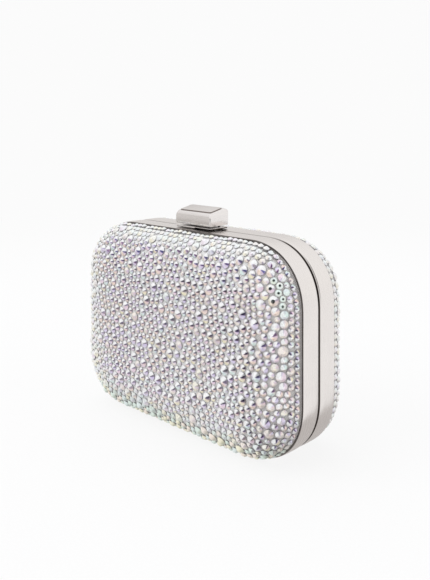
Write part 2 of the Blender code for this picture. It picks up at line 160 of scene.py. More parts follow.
def place(tree, kind, inputs=None, **settings):
    """Adds a node, sets its choices and fills its inputs."""
    node = tree.nodes.new("ShaderNode" + kind)
    for name, value in settings.items():
        setattr(node, name, value)
    fill(node, inputs or {})
    return node


def out(node, name=0):
    return Wire(node.outputs[name])


def axes_of(vector):
    """The X, Y and Z parts of a place or a direction."""
    split = place(vector.tree, "SeparateXYZ", {0: vector})
    return [out(split, axis) for axis in "XYZ"]


def remap(value, low, high, to_low=0.0, to_high=1.0):
    """Turns a range of values smoothly into another one."""
    ends = {"From Min": low, "From Max": high, "To Min": to_low, "To Max": to_high}
    inputs = {"Value": value, **ends}
    return out(place(value.tree, "MapRange", inputs, interpolation_type="SMOOTHSTEP"))


print("wires can be added, multiplied and compared")

# %% Helpers for colours, patterns and whole finishes
def blend(amount, first, second):
    """Blends two colours by an amount from 0 to 1."""
    inputs = {0: amount, 6: first, 7: second}
    return out(place(amount.tree, "Mix", inputs, data_type="RGBA"), 2)


def wash(colour, *layers):
    """Lays colours over another one in turn, each by its own amount."""
    for amount, layer in layers:
        colour = blend(amount, colour, layer)
    return colour


def dimmed(colour, share):
    return [value * share for value in colour]


def noise(where, scale, detail=2.0, **more):
    inputs = {"Vector": where, "Scale": scale, "Detail": detail, **more}
    return out(place(where.tree, "TexNoise", inputs))


def object_spot(tree):
    return out(place(tree, "TexCoord"), "Object")


def stretched(tree, scale=(1, 1, 1)):
    """The place on the piece, stretched along each axis."""
    return out(place(tree, "Mapping", {"Vector": object_spot(tree), "Scale": scale}))


def millimetres(tree):
    """The place on the piece as X, Y and Z in millimetres."""
    return axes_of(stretched(tree, (1 / mm, 1 / mm, 1 / mm)))


def bump(height, strength, distance):
    inputs = {"Height": height, "Strength": strength, "Distance": distance}
    return out(place(height.tree, "Bump", inputs))


def new_finish(name):
    """A material with an empty Principled shader."""
    finish = bpy.data.materials.new(name)
    finish.use_nodes = True
    return finish, finish.node_tree, finish.node_tree.nodes["Principled BSDF"]


def dress(things, finish):
    """Gives pieces a finish in place of any other."""
    for thing in things:
        thing.data.materials.clear()
        thing.data.materials.append(finish)


def new_group(name, inputs, outputs):
    """A node group, with its inputs given as (name, value) and its outputs by name."""
    group = bpy.data.node_groups.new(name, "ShaderNodeTree")
    for label, value in inputs:
        socket = group.interface.new_socket(label, in_out="INPUT", socket_type="NodeSocketFloat")
        socket.default_value = value
    for label in outputs:
        group.interface.new_socket(label, in_out="OUTPUT", socket_type="NodeSocketFloat")
    return group, group.nodes.new("NodeGroupInput"), group.nodes.new("NodeGroupOutput")


print("finish helpers ready")

# %% [markdown]
# ## The studio
#
# The photograph is a catalogue picture: a white room with hardly any shadow. The room's white is
# what the camera and the polished metal see, and a greyer light falls on the bag from all sides,
# so that its pale stones keep their colours. The room is a little greyer towards the left, which
# gives the metal its darker faces.

# %% Light the room
room = bpy.data.worlds.new("white_room")
bpy.context.scene.world = room
room.use_nodes = True
tree = room.node_tree
tree.nodes.clear()
backdrop_white, ambient_grey = (0.966, 0.966, 0.966), (0.62, 0.625, 0.64)
ray = place(tree, "LightPath")
rightward, _, upward = axes_of(out(place(tree, "TexCoord"), "Generated"))
greys = blend(remap(rightward, -0.75, 0.35), (0.77, 0.755, 0.745), (0.99, 0.985, 0.98))
mirrored = blend(remap(upward, 0.2, 0.9), greys, (1, 1, 1))
seen_in_metal = out(ray, "Is Glossy Ray").math("MAXIMUM", out(ray, "Is Transmission Ray"))
light = wash(ambient_grey, (seen_in_metal, mirrored), (out(ray, "Is Camera Ray"), backdrop_white))
background = place(tree, "Background", {"Color": light, "Strength": 1.0})
place(tree, "OutputWorld", {"Surface": out(background)})

for name, spread, power, comes_from in (
    ("overhead_softbox", 60, 0.8, (-0.35, 0.1, 1.0)),
    ("front_softbox", 50, 1.2, (-0.45, -0.75, 0.55)),
    ("side_softbox", 60, 0.45, (0.8, 0.5, 0.35)),
):
    lamp = bring_in(name, bpy.data.lights.new(name, "SUN"))
    lamp.data.energy, lamp.data.angle = power, math.radians(spread)
    lamp.rotation_euler = Vector(comes_from).to_track_quat("Z", "Y").to_euler()
    lamp.visible_glossy = False
print("the room has", len(bpy.data.lights), "soft lamps")

# %% [markdown]
# The floor is a pale disc. It takes a soft shadow from the bag, and most of its white is its own,
# so the shadow stays faint. Far away it fades into the white of the room, which hides its edge.

# %% Lay the floor
def glow(tree, colour, strength=1.0):
    return out(place(tree, "Emission", {"Color": colour, "Strength": strength}))


def show_with(tree, shader):
    """Shows a finish with another shader than the Principled one."""
    tree.nodes.remove(tree.nodes["Principled BSDF"])
    fill(tree.nodes["Material Output"], {"Surface": shader})


floor_radius, floor_gap = 3, 0.02 * mm
disc = bmesh.new()
bmesh.ops.create_circle(disc, cap_ends=True, segments=96, radius=floor_radius)
floor = bring_in("floor", mesh_of("floor", disc))
floor.location.z = -floor_gap

paper, tree, _ = new_finish("white_paper")
spot = object_spot(tree)
distance = out(place(tree, "VectorMath", {0: spot}, operation="LENGTH"), "Value")
pale = remap(noise(spot, 900, 3), 0.3, 0.7, 0.115, 0.125)
shaded = out(place(tree, "BsdfDiffuse", {"Color": pale}))
lights_bag = out(place(tree, "LightPath"), "Is Diffuse Ray")
own_white = glow(tree, (1, 1, 1), lights_bag * -0.35 + 0.853)
near_floor = out(place(tree, "AddShader", {0: shaded, 1: own_white}))
far_floor = glow(tree, backdrop_white)
both = place(tree, "MixShader", {0: remap(distance, 0.25, 0.9), 1: near_floor, 2: far_floor})
show_with(tree, out(both))
dress([floor], paper)
floor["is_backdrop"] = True
print("floor radius", floor_radius, "m")

# %% [markdown]
# Four cards stand outside the picture, as a photographer would put them there. A round one as
# dark as a lens stands at the camera, and the stones that face it show it as a black pupil. Two
# grey ones, upright at the left and flat on the floor before it, are what the clasp's front
# mirrors. A small one beside the case's foot is a painted reflection of the floor's shade there:
# it darkens the lower end of the bands. Only mirrored rays see them, so they cast no shade.

# %% Stand the cards
def stand_card(name, outline, spot, facing, shade):
    """A flat card of one grey that shows in reflections alone."""
    shape = bmesh.new()
    shape.faces.new([shape.verts.new((x, y, 0)) for x, y in outline])
    card = bring_in(name, mesh_of(name, shape))
    card.location = spot
    card.rotation_euler = Vector(facing).to_track_quat("Z", "Y").to_euler()
    card.visible_camera = card.visible_diffuse = False
    card.visible_shadow = card.visible_transmission = False
    felt, tree, _ = new_finish(name)
    patchy = blend(noise(object_spot(tree), 12), dimmed(shade, 0.92), shade)
    show_with(tree, glow(tree, patchy))
    dress([card], felt)
    card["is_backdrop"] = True
    print(name, "has", len(outline), "corners")


lens_radius, lens_corners = 0.165, 32
turns = [step * math.tau / lens_corners for step in range(lens_corners)]
lens_round = [(lens_radius * math.cos(turn), lens_radius * math.sin(turn)) for turn in turns]
toward_bag = Vector((0.05, -0.02, 0.06)) - camera.location
behind_camera = camera.location - toward_bag * 0.02
stand_card("dark_lens", lens_round, behind_camera, toward_bag, (0.03, 0.04, 0.04))
for name, half_x, half_y, spot, facing, shade in (
    ("grey_card", 0.6, 0.35, (-0.62, -0.62, 0.16), (1, 1, 0.1), (0.75, 0.735, 0.72)),
    ("low_card", 0.35, 0.35, (-0.40, -0.44, 0.002), (0, 0, 1), (0.57, 0.55, 0.53)),
    # A grey sheet standing in for the floor's shade beside the foot, seen only in the bands.
    ("floor_shade_card", 0.022, 0.08, (0.082, 0.03, 0.0015), (0, 0, 1), (0.60, 0.58, 0.57)),
):
    corners = [(-half_x, -half_y), (half_x, -half_y), (half_x, half_y), (-half_x, half_y)]
    stand_card(name, corners, spot, facing, shade)

# %% [markdown]
# ## The case's outline
#
# Seen from the front, the case is a rectangle whose corners are a little squarer than circles. A
# superellipse draws such a corner: the higher its exponent, the squarer it is. Every band and dome
# of the case is this outline, drawn in by some inset and carried some depth away from the seam.

# %% Draw the outline
case_width, case_height = 157.0 * mm, 108.0 * mm
corner_radius, corner_power = 32.6 * mm, 2.19
corner_steps = 26
straight_x = case_width / 2 - corner_radius
straight_z = case_height / 2 - corner_radius


def squircle_reach(angle, power):
    """How far a rounded square of half-side 1 lies from its middle in one direction."""
    across, along = np.abs(np.cos(angle)) ** power, np.abs(np.sin(angle)) ** power
    return (across + along) ** (-1 / power)


def case_outline(inset, steps=corner_steps):
    """Points (x, z) round the case, anticlockwise as seen from the front."""
    turns = np.linspace(0, math.pi / 2, steps + 1)
    loops = []
    for quarter in range(4):
        angle = turns + quarter * math.pi / 2
        reach = (corner_radius - inset) * squircle_reach(angle, corner_power)
        side_x = 1 if quarter in (0, 3) else -1
        side_z = 1 if quarter in (0, 1) else -1
        x = side_x * straight_x + reach * np.cos(angle)
        z = side_z * straight_z + reach * np.sin(angle) + case_height / 2
        loops.append(np.stack([x, z], 1))
    return np.concatenate(loops)


print("one outline has", len(case_outline(0)), "points")

# %% [markdown]
# `skin` joins a row of such outlines with faces. A closed row makes a solid ring, which is what
# the metal bands are. An open row gets a flat face on each end, as the domes and the clasp do.
# `side` is -1 for the front half and 1 for the back.

# %% Skin a row of outlines
def skin(name, loops, closed=False, smooth_angle=40):
    """Skins loops of points into one piece, smooth but for its sharp edges."""
    count, faces = len(loops[0]), []
    for level in range(len(loops) if closed else len(loops) - 1):
        here, there = level * count, (level + 1) % len(loops) * count
        for step in range(count):
            after = (step + 1) % count
            faces.append((here + step, here + after, there + after, there + step))
    if not closed:
        last = (len(loops) - 1) * count
        faces += [tuple(range(count)), tuple(range(last, last + count))]
    points = [tuple(map(float, point)) for loop in loops for point in loop]
    data = bpy.data.meshes.new(name)
    data.from_pydata(points, [], faces)
    shape = bmesh.new()
    shape.from_mesh(data)
    bmesh.ops.recalc_face_normals(shape, faces=shape.faces)
    shape.to_mesh(data)
    shape.free()
    data.shade_smooth()
    data.set_sharp_from_angle(angle=math.radians(smooth_angle))
    return bring_in(name, data)


def outlines_at(rings, side):
    """The case's outline in space at each (inset, depth)."""
    return [[(x, side * depth, z) for x, z in case_outline(inset)] for inset, depth in rings]


print("skinning helpers ready")

# %% [markdown]
# ## The metal frame
#
# Each half of the frame is a rolled band, slightly crowned, with rounded edges and a flange that
# stiffens it along the seam. The hinges and the latch need holes in it. Boolean cuts make these,
# and the cut mesh is kept, so no cutters stay in the scene.

# %% Roll the two bands
seam_gap = 0.5 * mm
band_depth, band_wall = 12.35 * mm, 1.5 * mm
band_crown, edge_round, flat_share = 0.3 * mm, 0.6 * mm, 0.42
rim_drop, rim_round = 0.2 * mm, 0.2 * mm
flange_reach, flange_wall, flange_round = 3 * mm, 1.2 * mm, 0.2 * mm
band_edge = seam_gap / 2 + band_depth


def band_section():
    """Corners (inset, depth) of the band's section, round its outside and then its inside."""
    near, far = seam_gap / 2 + edge_round, band_edge - rim_round
    fall = (far - near) * (1 - flat_share) / 2
    turns = np.linspace(0, math.pi / 2, 6)
    seam_edge = [
        (band_crown + edge_round * (1 - math.sin(turn)), near - edge_round * math.cos(turn))
        for turn in turns
    ]
    shares = np.linspace(1, 0, 7)[1:]
    seam_fall = [(band_crown * share**2, near + fall * (1 - share)) for share in shares]
    far_fall = [(inset * 0.6, near + far - depth) for inset, depth in reversed(seam_fall)]
    far_edge = [
        (rim_drop + rim_round * (1 - math.sin(turn)), far + rim_round * math.cos(turn))
        for turn in reversed(turns)
    ]
    shelf, lip = seam_gap / 2 + flange_wall, band_wall + flange_reach
    inside = [
        (band_wall, band_edge),
        (band_wall, shelf),
        (lip - flange_round, shelf),
        (lip, shelf - flange_round),
        (lip, seam_gap / 2 + flange_round),
        (lip - flange_round, seam_gap / 2),
    ]
    return seam_edge + seam_fall + far_fall + far_edge + inside


sides = {"front": -1, "back": 1}
bands = {
    half: skin(f"{half}_band", outlines_at(band_section(), side), closed=True)
    for half, side in sides.items()
}
print("band section has", len(band_section()), "corners")

# %% Cutters for the hinges and the latch
def box_cutter(low, high):
    shape = bmesh.new()
    low, high = Vector(low) * mm, Vector(high) * mm
    between = Matrix.LocRotScale((low + high) / 2, None, high - low)
    bmesh.ops.create_cube(shape, size=1, matrix=between)
    return shape


def hole_cutter(x, y, radius, low, high):
    shape = bmesh.new()
    middle = Matrix.Translation(Vector((x, y, (low + high) / 2)) * mm)
    size = {"radius1": radius * mm, "radius2": radius * mm, "depth": (high - low) * mm}
    bmesh.ops.create_cone(shape, cap_ends=True, segments=24, matrix=middle, **size)
    return shape


def groove_cutter(apex, floor_level, half_width, reach):
    """A wedge along the bottom seam, which lets the two halves swing apart."""
    shape = bmesh.new()
    section = [(0, apex), (-half_width, floor_level), (half_width, floor_level)]
    face = shape.faces.new([shape.verts.new((-reach * mm, y * mm, z * mm)) for y, z in section])
    grown = bmesh.ops.extrude_face_region(shape, geom=[face])["geom"]
    moved = [item for item in grown if isinstance(item, bmesh.types.BMVert)]
    bmesh.ops.translate(shape, vec=(2 * reach * mm, 0, 0), verts=moved)
    bmesh.ops.recalc_face_normals(shape, faces=shape.faces)
    return shape


def carve(thing, cutters):
    """Cuts shapes out of a piece and keeps the result as its mesh."""
    tools = [bring_in("cutter", mesh_of("cutter", shape)) for shape in cutters]
    for tool in tools:
        cut = thing.modifiers.new("cut", "BOOLEAN")
        cut.operation, cut.solver, cut.object = "DIFFERENCE", "EXACT", tool
    shaped = thing.evaluated_get(bpy.context.evaluated_depsgraph_get())
    kept = bpy.data.meshes.new_from_object(shaped)
    thing.modifiers.clear()
    old, thing.data = thing.data, kept
    bpy.data.meshes.remove(old)
    for tool in tools:
        bpy.data.objects.remove(tool, do_unlink=True)
    kept.shade_smooth()
    kept.set_sharp_from_angle(angle=math.radians(40))


print("cutters for boxes, round holes and the bottom groove")

# %% [markdown]
# The cuts in both halves are the bottom groove, the window of the latch, and for each hinge a
# recess and two rivet holes. On top, the front half has holes for the striker's rivets, and the
# back half has them for the clasp's posts and for the rivets of its base plate.

# %% Cut the bands
hinge_spots, hinge_rivets, rivet_hole, post_hole = (-30, 30), (-3.8, 3.8), 0.7, 1.1
top_holes = {
    "front": [(x, -4.2, rivet_hole) for x in (-4, 4)],
    "back": [(x, 3.1, post_hole if abs(x) < 10 else rivet_hole) for x in (-8.5, 8.5, -11.1, 11.1)],
}
for half, side in sides.items():
    latch_window = box_cutter((-6.3, -2.45, 101.5), (6.3, 2.45, 106.5))
    cutters = [groove_cutter(1.45, -2, 2.55, 78.5), latch_window]
    for hinge in hinge_spots:
        cutters.append(box_cutter((hinge - 6.6, -1.65, -2), (hinge + 6.6, 1.65, 6.5)))
        cutters += [hole_cutter(hinge + x, side * 3.975, rivet_hole, -1, 4) for x in hinge_rivets]
    cutters += [hole_cutter(x, y, radius, 104, 110) for x, y, radius in top_holes[half]]
    carve(bands[half], cutters)
    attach(bands[half], f"{half}_half")
    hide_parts(f"{half}_frame")
    print(half, "band has", len(bands[half].data.polygons), "faces after its cuts")

# %% [markdown]
# ## Nickel
#
# The frame and the clasp are nickel plate over brass, polished along the band. Polishing leaves
# hair-fine lines, which a noise draws when it is squeezed hard across the band. A shared group,
# `handling_marks`, adds faint smudges and scratches to this metal and to the plain steel parts.

# %% Make the shared marks of handling
marks, given, result = new_group(
    "handling_marks", [("Smudge Scale", 60.0), ("Scratch Scale", 900.0)], ["Smudges", "Scratches"]
)
spot = stretched(marks)
smudges = noise(spot, out(given, "Smudge Scale"), 4)
lines = noise(stretched(marks, (0.25, 1, 1)), out(given, "Scratch Scale"), 1)
broken_up = remap(noise(spot, 150.0, Distortion=0.4), 0.5, 0.6)
fill(result, {
    "Smudges": remap(smudges, 0.42, 0.68),
    "Scratches": remap(lines, 0.62, 0.66) * broken_up,
})


def handled(tree, smudge_scale, scratch_scale):
    """Places the marks in a finish, and gives its smudges and its scratches."""
    scales = {"Smudge Scale": smudge_scale, "Scratch Scale": scratch_scale}
    node = place(tree, "Group", scales, node_tree=marks)
    return out(node, "Smudges"), out(node, "Scratches")


print("group", marks.name, "has", len(marks.nodes), "nodes")

# %% [markdown]
# The bands get painted shade, a near-black brown that the mask below lays into their colour.
# It lies on the rounded lip along the seam, most on the sides, where the gap between the halves is
# in shade, and thinly on the band's edge beside the cloth all round. Along the top it darkens that
# edge more widely, and at the upper right bend it paints a dark reflection as a line beside the
# seam for a few millimetres.

# %% Make the nickel finishes
# Painted shade in the seam's gap and along the band's edges, and a painted dark reflection at the
# upper right bend.
def band_painted_shade(tree):
    x, y, z = millimetres(tree)
    depth, edge = abs(y), band_edge / mm
    side_on = abs(axes_of(out(place(tree, "NewGeometry"), "True Normal"))[1])
    lip = remap(depth, 0.72, 1.0, 1, 0) * remap(z, 105, 109, 1, 0.3)
    lip = lip * remap(side_on, 0.990, 0.997, 1, 0.1)
    rim = remap(depth, edge - 0.04, edge, 0, 0.8)
    top_rim = remap(depth, edge - 0.3, edge - 0.15, 0, 0.95) * remap(z, 106, 108)
    corner = remap(x, 66, 73) * remap(z, 76, 88) * remap(z, 106, 100)
    corner_dark_reflection = remap(y, 1.1, 1.25) * remap(y, 1.75, 1.6) * corner * 0.8
    dark = lip.math("MAXIMUM", rim.math("MAXIMUM", top_rim))
    return dark.math("MAXIMUM", corner_dark_reflection)


def nickel_finish(name, colour, roughness, stretch, line_strength, shade_mask=None):
    """Polished nickel, with hair lines that run at right angles to the strongest stretch."""
    finish, tree, surface = new_finish(name)
    hair = noise(stretched(tree, stretch), 1.0, 3)
    smudges, scratches = handled(tree, 45.0, 1500.0)
    lined = remap(hair, 0.35, 0.65, 0, 0.22)
    metal = wash(colour, (smudges * 0.35, dimmed(colour, 0.93)), (lined, dimmed(colour, 0.9)))
    # Painted shade: where a mask is given, it lays a near-black brown into the metal's colour.
    if shade_mask:
        metal = blend(shade_mask(tree), metal, (0.06, 0.048, 0.042))
    rough = remap(hair, 0.3, 0.7, roughness - 0.03, roughness + 0.05)
    fill(surface, {
        "Base Color": metal,
        "Metallic": 1.0,
        "Roughness": smudges * 0.05 + rough,
        "Normal": bump(hair - scratches * 0.4, line_strength, 0.02 * mm),
    })
    return finish


nickel, brushed_around, brushed_up = (0.84, 0.805, 0.79), (14, 2600, 14), (60, 60, 1800)
band_nickel = nickel_finish(
    "band_nickel", (0.83, 0.79, 0.765), 0.24, brushed_around, 0.25, band_painted_shade
)
clasp_nickel = nickel_finish("clasp_nickel", nickel, 0.2, brushed_up, 0.2)
panel_nickel = nickel_finish("panel_nickel", (0.77, 0.735, 0.715), 0.3, (2200, 40, 40), 0.2)
dress(bands.values(), band_nickel)
print("nickel finishes:", band_nickel.name, clasp_nickel.name, panel_nickel.name)

# %% [markdown]
# ## The domed halves
#
# Each half swells out of its band like a pillow, in layers: mesh fabric outside, a moulded shell,
# and satin inside. The swelling is a superellipse too, steep beside the band and flat on the
# face. The same curve places the stones later, so it is kept as a function of the angle along it.
# The fabric's edge is turned over and laps a little onto the band, which closes the gap there.

# %% Shape the dome's curve
dome_inset, dome_rise = 1.8 * mm, 16.5 * mm
turn_width, turn_power = 30.6 * mm, 2.5
cloth_wall, cloth_tuck, cloth_lap = 0.7 * mm, 3 * mm, 0.55 * mm
satin_sink, satin_wall, satin_start = 2.8 * mm, 0.8 * mm, 7.05 * mm


def dome_curve(shares, sink=0.0):
    """(inset, depth) along the dome, from its skirt at share 0 to its face at share 1."""
    angle = np.asarray(shares) * math.pi / 2
    reach = squircle_reach(angle, turn_power)
    inset = dome_inset + sink + (turn_width - sink) * (1 - reach * np.cos(angle))
    depth = band_edge + (dome_rise - sink) * reach * np.sin(angle)
    return list(zip(inset, depth))


def dome_layer(name, side, sink, wall, start, lap=0.0):
    """One layer of a dome, as a closed skin with its face filled in."""
    shares = np.linspace(0, 1, 23)
    outer = [(dome_inset + sink, start)] + dome_curve(shares, sink)
    if lap:
        on_band = [(-lap, -0.2 * mm), (-lap, 0.08 * mm)]
        on_band += [(-lap + 0.08 * mm, 0.16 * mm), (-0.05 * mm, 0.2 * mm)]
        folded = [(dome_inset + inward, band_edge + rise) for inward, rise in on_band]
        outer = outer[:1] + folded + outer[2:]
    inner = [(dome_inset + sink + wall, start)] + dome_curve(shares, sink + wall)
    return skin(name, outlines_at(outer[::-1] + inner, side), smooth_angle=60)


cloths, satins = {}, {}
for half, side in sides.items():
    cloths[half] = dome_layer(
        f"{half}_mesh_cloth", side, 0, cloth_wall, band_edge - cloth_tuck, cloth_lap
    )
    satins[half] = dome_layer(f"{half}_satin", side, satin_sink, satin_wall, satin_start)
    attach(cloths[half], f"{half}_half")
    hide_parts(f"{half}_cover")
    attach(satins[half], f"{half}_half")
    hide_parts(f"{half}_lining")
print("cloth and satin layers:", [thing.name for thing in (*cloths.values(), *satins.values())])

# %% [markdown]
# The outer cloth is a fine mesh of silver thread, woven on the slant. Two sets of slanting waves
# cross to make its cells: where both are low, the weave opens and shows the dark ground below.
# Painted shade darkens the cloth beside the band, most in its open cells and deepest along the
# top, and a browner painted shade darkens it towards the case's ends.

# %% Weave the mesh cloth
cell_pitch, thread, ground = 0.85, (0.92, 0.92, 0.92), (0.46, 0.445, 0.435)
silver_mesh, tree, surface = new_finish("silver_mesh")
x, y, z = millimetres(tree)
waves = [
    (run * (math.tau / (cell_pitch * 1.414))).math("SINE")
    for run in (x + z + y, x - z + y * 0.3)
]
weave = waves[0].math("MAXIMUM", waves[1]) * 0.5 + 0.5
patchy = noise(stretched(tree), 220, 3)
from_band = abs(y) - band_edge / mm
# Painted shade: dark brown beside the band, near-black under the top band, browner grey towards the
# ends.
shade_beside_band = remap(from_band, 0.6, 2.6, 0.12, 0)
shadow_under_top = remap(from_band, 0.5, 1.5, 0.9, 0) * remap(z, 100, 105)
shade_towards_ends = remap(abs(x), 50, 60, 0, 0.36)
colour = wash(
    ground,
    (remap(weave, 0.25, 0.8), thread),
    (remap(patchy, 0.3, 0.75, 0, 0.25), dimmed(thread, 0.8)),
    (shade_beside_band * remap(weave, 0.5, 0.95, 3.4, 0.0), (0.16, 0.12, 0.10)),
    (shadow_under_top, (0.07, 0.06, 0.055)),
    (shade_towards_ends, (0.33, 0.275, 0.25)),
)
fill(surface, {
    "Base Color": colour,
    "Metallic": 0.25,
    "Roughness": remap(weave, 0, 1, 0.6, 0.45),
    "Sheen Weight": 0.2,
    "Normal": bump(weave, 0.6, 0.12 * mm),
})
dress(cloths.values(), silver_mesh)
print("mesh cloth cells are", cell_pitch, "mm wide")

# %% [markdown]
# ## Setting the crystals
#
# About 1400 flat-back crystals in four sizes are glued to each half, close together but in no
# pattern, with a row of small ones along the band. A random scatter would overlap, so the stones
# are scattered and then let push each other apart until they fit, as a setter nudges them with a
# pin. All distances are measured in space, so the crowding is even round the curve too.

# %% Measure the dome
stone_sizes = np.array([5.0, 4.1, 3.3, 2.8]) * mm
stone_shares = np.array([0.08, 0.20, 0.42, 0.30])
border_size, border_pitch, border_distance = 3.1 * mm, 3.36 * mm, 2.9 * mm
field_stones = 1235
middle_z = case_height / 2


def walked(points):
    """The distance walked along a row of points, up to each of them."""
    return np.concatenate([[0], np.cumsum(np.hypot(*np.diff(points, axis=0).T))])


curve_shares = np.linspace(0, 1, 400)
curve = np.array(dome_curve(curve_shares))
curve_run = walked(curve)
flat_reach = corner_radius - dome_inset - turn_width
print("the dome's curve is", round(curve_run[-1] / mm, 1), "mm long from band to face")

# %% Helpers that put places back on the dome
def dome_parts(places):
    """How far places (x, depth, z) lie past the straight middle and up the dome's curve."""
    u = np.maximum(np.abs(places[:, 0]) - straight_x, 0)
    v = np.maximum(np.abs(places[:, 2] - middle_z) - straight_z, 0)
    reach = (u**corner_power + v**corner_power) ** (1 / corner_power)
    over = np.maximum(reach - flat_reach, 0) / turn_width
    lift = np.maximum(places[:, 1] - band_edge, 1e-6) / dome_rise
    return u, v, reach, over, lift


def settle_on_dome(places, least_run):
    """Moves places onto the dome, and no nearer to its skirt than least_run."""
    u, v, reach, over, lift = dome_parts(places)
    scale = (over**turn_power + lift**turn_power) ** (1 / turn_power)
    over, lift = over / scale, lift / scale
    share = np.arctan2(lift, over) / (math.pi / 2)
    run = np.interp(share, curve_shares, curve_run)
    share = np.where(run < least_run, np.interp(least_run, curve_run, curve_shares), share)
    turn = share * math.pi / 2
    bend = squircle_reach(turn, turn_power)
    new_reach = flat_reach + turn_width * bend * np.cos(turn)
    depth = band_edge + dome_rise * bend * np.sin(turn)
    pull = np.where(reach > flat_reach, new_reach / np.maximum(reach, 1e-9), 1.0)
    x = np.sign(places[:, 0]) * np.where(u > 0, straight_x + u * pull, np.abs(places[:, 0]))
    rise = places[:, 2] - middle_z
    z = np.sign(rise) * np.where(v > 0, straight_z + v * pull, np.abs(rise)) + middle_z
    return np.stack([x, depth, z], 1)


def dome_normals(places):
    """The way out of the dome at each place, as (x, depth, z)."""
    u, v, reach, over, lift = dome_parts(places)
    safe = np.maximum(reach, 1e-9)
    out_x = np.sign(places[:, 0]) * (u / safe) ** (corner_power - 1)
    out_z = np.sign(places[:, 2] - middle_z) * (v / safe) ** (corner_power - 1)
    sideways = over ** (turn_power - 1) / turn_width
    outward = lift ** (turn_power - 1) / dome_rise
    normal = np.stack([out_x * sideways, outward, out_z * sideways], 1)
    return normal / np.linalg.norm(normal, axis=1, keepdims=True)


print("the face is flat within", round((straight_x + flat_reach) / mm, 1), "mm of its middle")

# %% Scatter the stones
def closed_outline(inset, steps):
    """The closed outline at an inset, and the distance walked up to each of its points."""
    loop = case_outline(inset, steps)
    loop = np.vstack([loop, loop[:1]])
    return loop, walked(loop)


def stops_along(loop, run, distances):
    """The x and z of stops at some distances along an outline."""
    return [np.interp(distances, run, loop[:, axis]) for axis in (0, 1)]


def scatter(count):
    """Random places round the dome's turn, spread evenly over its surface."""
    straight_way = 4 * (straight_x + straight_z)
    found = []
    while sum(map(len, found)) < count:
        tries = luck.random((4000, 3))
        shares = np.interp(tries[:, 0] * curve_run[-1], curve_run, curve_shares)
        rings = np.array(dome_curve(shares))
        around = straight_way + math.tau * (corner_radius - rings[:, 0]) * 1.02
        longest = straight_way + math.tau * corner_radius * 1.02
        kept = tries[:, 1] * longest < around
        spots = []
        for (inset, depth), share in zip(rings[kept], tries[kept, 2]):
            loop, run = closed_outline(inset, 12)
            spots.append(stops_along(loop, run, share * run[-1]))
        x, z = np.array(spots).T
        found.append(np.stack([x, rings[kept, 1], z], 1))
    return np.concatenate(found)[:count]


flat_area = 4 * straight_x * straight_z
ring_area = sum(
    4 * (straight_x + straight_z) + math.tau * (corner_radius - inset) for inset, depth in curve
) * curve_run[-1] / len(curve)
on_face = round(field_stones * flat_area / (flat_area + ring_area))
face_x = luck.uniform(-straight_x, straight_x, on_face)
face_z = luck.uniform(-straight_z, straight_z, on_face) + middle_z
face_places = np.stack([face_x, np.full(on_face, band_edge + dome_rise), face_z], 1)
places = np.concatenate([face_places, scatter(field_stones - on_face)])
of_each_size = np.round(stone_shares * field_stones).astype(int)
diameters = np.resize(luck.permutation(np.repeat(stone_sizes, of_each_size)), field_stones)
print(on_face, "stones start on the flat face, and", field_stones - on_face, "round the turn")

# %% Walk the border row
border_inset, border_depth = stops_along(curve, curve_run, border_distance)
loop, run = closed_outline(border_inset, 60)
border_count = round(run[-1] / border_pitch)
uneven = luck.uniform(-0.04, 0.04, border_count)
stops = (np.arange(border_count) + uneven) / border_count * run[-1]
border_x, border_z = stops_along(loop, run, stops)
border_places = np.stack([border_x, np.full(border_count, border_depth), border_z], 1)
print(border_count, "border stones")

# %% Let the field stones push each other into place
rounds, last_rounds, neighbours_within = 160, 50, 8 * mm
loose_gap, tight_gap = 0.75 * mm, 0.35 * mm
least_run = border_distance + border_size / 2 + 0.15 * mm + diameters / 2
all_radii = np.concatenate([diameters, np.full(border_count, border_size)]) / 2
for turn in range(rounds):
    together = np.concatenate([places, border_places])
    if turn % 8 == 0:
        apart = np.linalg.norm(places[:, None] - together[None], axis=2)
        first, second = np.nonzero((apart < neighbours_within) & (apart > 0))
    gap = together[second] - places[first]
    distance = np.linalg.norm(gap, axis=1)
    wanted = (all_radii[first] + all_radii[second]) * 1.05
    wanted += loose_gap if turn < rounds - last_rounds else tight_gap
    squeeze = np.maximum(wanted - distance, 0)
    push = -gap / np.maximum(distance, 1e-6)[:, None] * (squeeze * 0.34)[:, None]
    step = np.zeros_like(places)
    np.add.at(step, first, push)
    places = settle_on_dome(places + step, least_run)
print("deepest squeeze left", round(float(squeeze.max() / mm), 2), "mm")

# %% [markdown]
# ## Cutting one crystal
#
# A flat-back crystal is a low cone: a short upright wall, eight tapering facets in three slivers
# each, and a small flat table on top. One is cut here as points and faces, and copied to every
# place with its own size and turn. Each face keeps a few numbers: the luck of its stone and of
# itself, its tier, its height on the bag, and how far its stone leans from the front right, the
# way of the dark camera side, whose reflection is painted in as the violet wedge.

# %% Cut a crystal
wall_steps, facets, table_share = 16, 8, 0.4
wall_turns = np.arange(wall_steps) * math.tau / wall_steps
table_turns = (np.arange(facets) + 0.5) * math.tau / facets - math.pi / 4
rim = np.stack([np.cos(wall_turns), np.sin(wall_turns)], 1)
table = np.stack([np.cos(table_turns), np.sin(table_turns)], 1) * table_share
cut_flat = np.concatenate([rim * 0.96, rim, table])
cut_level = np.array([0] * wall_steps + [1] * wall_steps + [2] * facets)
table_start = 2 * wall_steps
cut_faces = []
for step in range(wall_steps):
    after = (step + 1) % wall_steps
    upper, upper_after = wall_steps + step, wall_steps + after
    cut_faces += [(step, after, upper_after), (step, upper_after, upper)]
for sector in range(facets):
    tip = 2 * sector + wall_steps
    before, beyond = (2 * sector - 1) % wall_steps + wall_steps, tip + 1
    left, right = table_start + sector, table_start + (sector + 1) % facets
    cut_faces += [(before, tip, left), (tip, beyond, right), (tip, right, left)]
